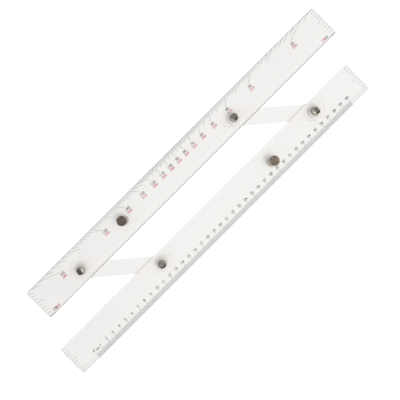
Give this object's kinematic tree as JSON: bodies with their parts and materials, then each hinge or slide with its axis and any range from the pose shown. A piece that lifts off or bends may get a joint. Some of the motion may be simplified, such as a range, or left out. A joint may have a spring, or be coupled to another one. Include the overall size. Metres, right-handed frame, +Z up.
{
  "type": "folding parallel plotter",
  "caption": "Two clear rules, one with a protractor and one with a centimetre scale, that stay parallel on pivoting clear links with steel posts and lift knobs.",
  "frame": {"origin": "on the chart under the plotter, midway between the two rules, which is also the middle of its outline", "axes": "+X along the rules, +Y from the scale rule towards the protractor rule, +Z up from the chart"},
  "size_m": [0.4678, 0.1084, 0.016],
  "materials": {
    "rule_acrylic": "gloss",
    "link_acrylic": "gloss",
    "nylon": "satin",
    "polished_steel": "polished",
    "knob_steel": "satin",
    "screw_steel": "satin",
    "black_print": "matte",
    "red_print": "matte"
  },
  "bodies": {
    "protractor_side": {"protractor_rule": "rule_acrylic", "protractor_left_spacer": "nylon", "protractor_right_spacer": "nylon", "protractor_left_washer": "nylon", "protractor_right_washer": "nylon", "protractor_left_post": "polished_steel", "protractor_right_post": "polished_steel", "protractor_left_screw": "screw_steel", "protractor_right_screw": "screw_steel", "protractor_knob": "knob_steel", "protractor_knob_screw": "screw_steel"},
    "left_arm": {"left_link": "link_acrylic"},
    "right_arm": {"right_link": "link_acrylic"},
    "scale_side": {"scale_rule": "rule_acrylic", "scale_left_spacer": "nylon", "scale_right_spacer": "nylon", "scale_left_washer": "nylon", "scale_right_washer": "nylon", "scale_left_post": "polished_steel", "scale_right_post": "polished_steel", "scale_left_screw": "screw_steel", "scale_right_screw": "screw_steel", "scale_knob": "knob_steel", "scale_knob_screw": "screw_steel"}
  },
  "joints": [
    {"name": "left_link_pivot", "type": "hinge", "parent": "protractor_side", "child": "left_arm", "pos_m": [-0.15337, 0.02923, 0], "axis": [0, 0, 1], "range_deg": [-123, 24]},
    {"name": "right_link_pivot", "type": "hinge", "parent": "protractor_side", "child": "right_arm", "pos_m": [0.08494, 0.02923, 0], "axis": [0, 0, 1], "range_deg": [-123, 24]},
    {"name": "scale_rule_pivot", "type": "hinge", "parent": "left_arm", "child": "scale_side", "pos_m": [-0.08494, -0.02923, 0], "axis": [0, 0, 1], "range_deg": [-24, 123]}
  ],
  "couplings": [
    {"joint": "right_link_pivot", "follows": "left_link_pivot", "ratio": 1},
    {"joint": "scale_rule_pivot", "follows": "left_link_pivot", "ratio": -1}
  ]
}
